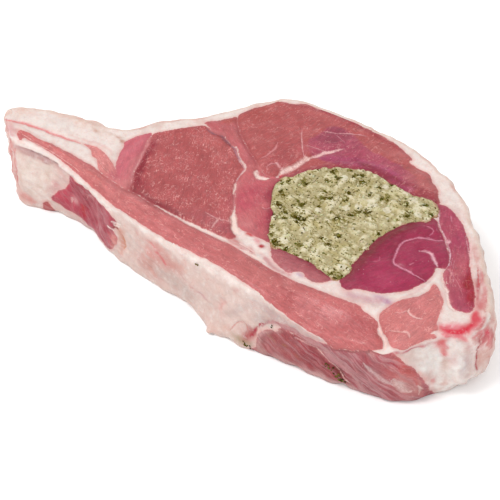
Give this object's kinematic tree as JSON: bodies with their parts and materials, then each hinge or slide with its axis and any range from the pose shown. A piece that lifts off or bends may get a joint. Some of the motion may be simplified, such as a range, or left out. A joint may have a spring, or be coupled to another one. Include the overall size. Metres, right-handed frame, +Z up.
{
  "type": "raw stuffed lamb steak",
  "caption": "Thick raw lamb steak cut across the shoulder, with a fat rim, a long tail and a pocket of pale herb stuffing.",
  "frame": {"origin": "centre of the bounding box at the flat underside", "axes": "+X along the length, from the thin tail to the thick end; +Y towards the curved fat rim; +Z up through the thickness"},
  "size_m": [0.2012, 0.0992, 0.0301],
  "materials": {
    "meat": "moist raw meat with pale fat",
    "herb_stuffing": "crumbly, speckled with herbs"
  },
  "bodies": {
    "root": {"meat": "meat", "herb_stuffing": "herb_stuffing"}
  },
  "joints": []
}
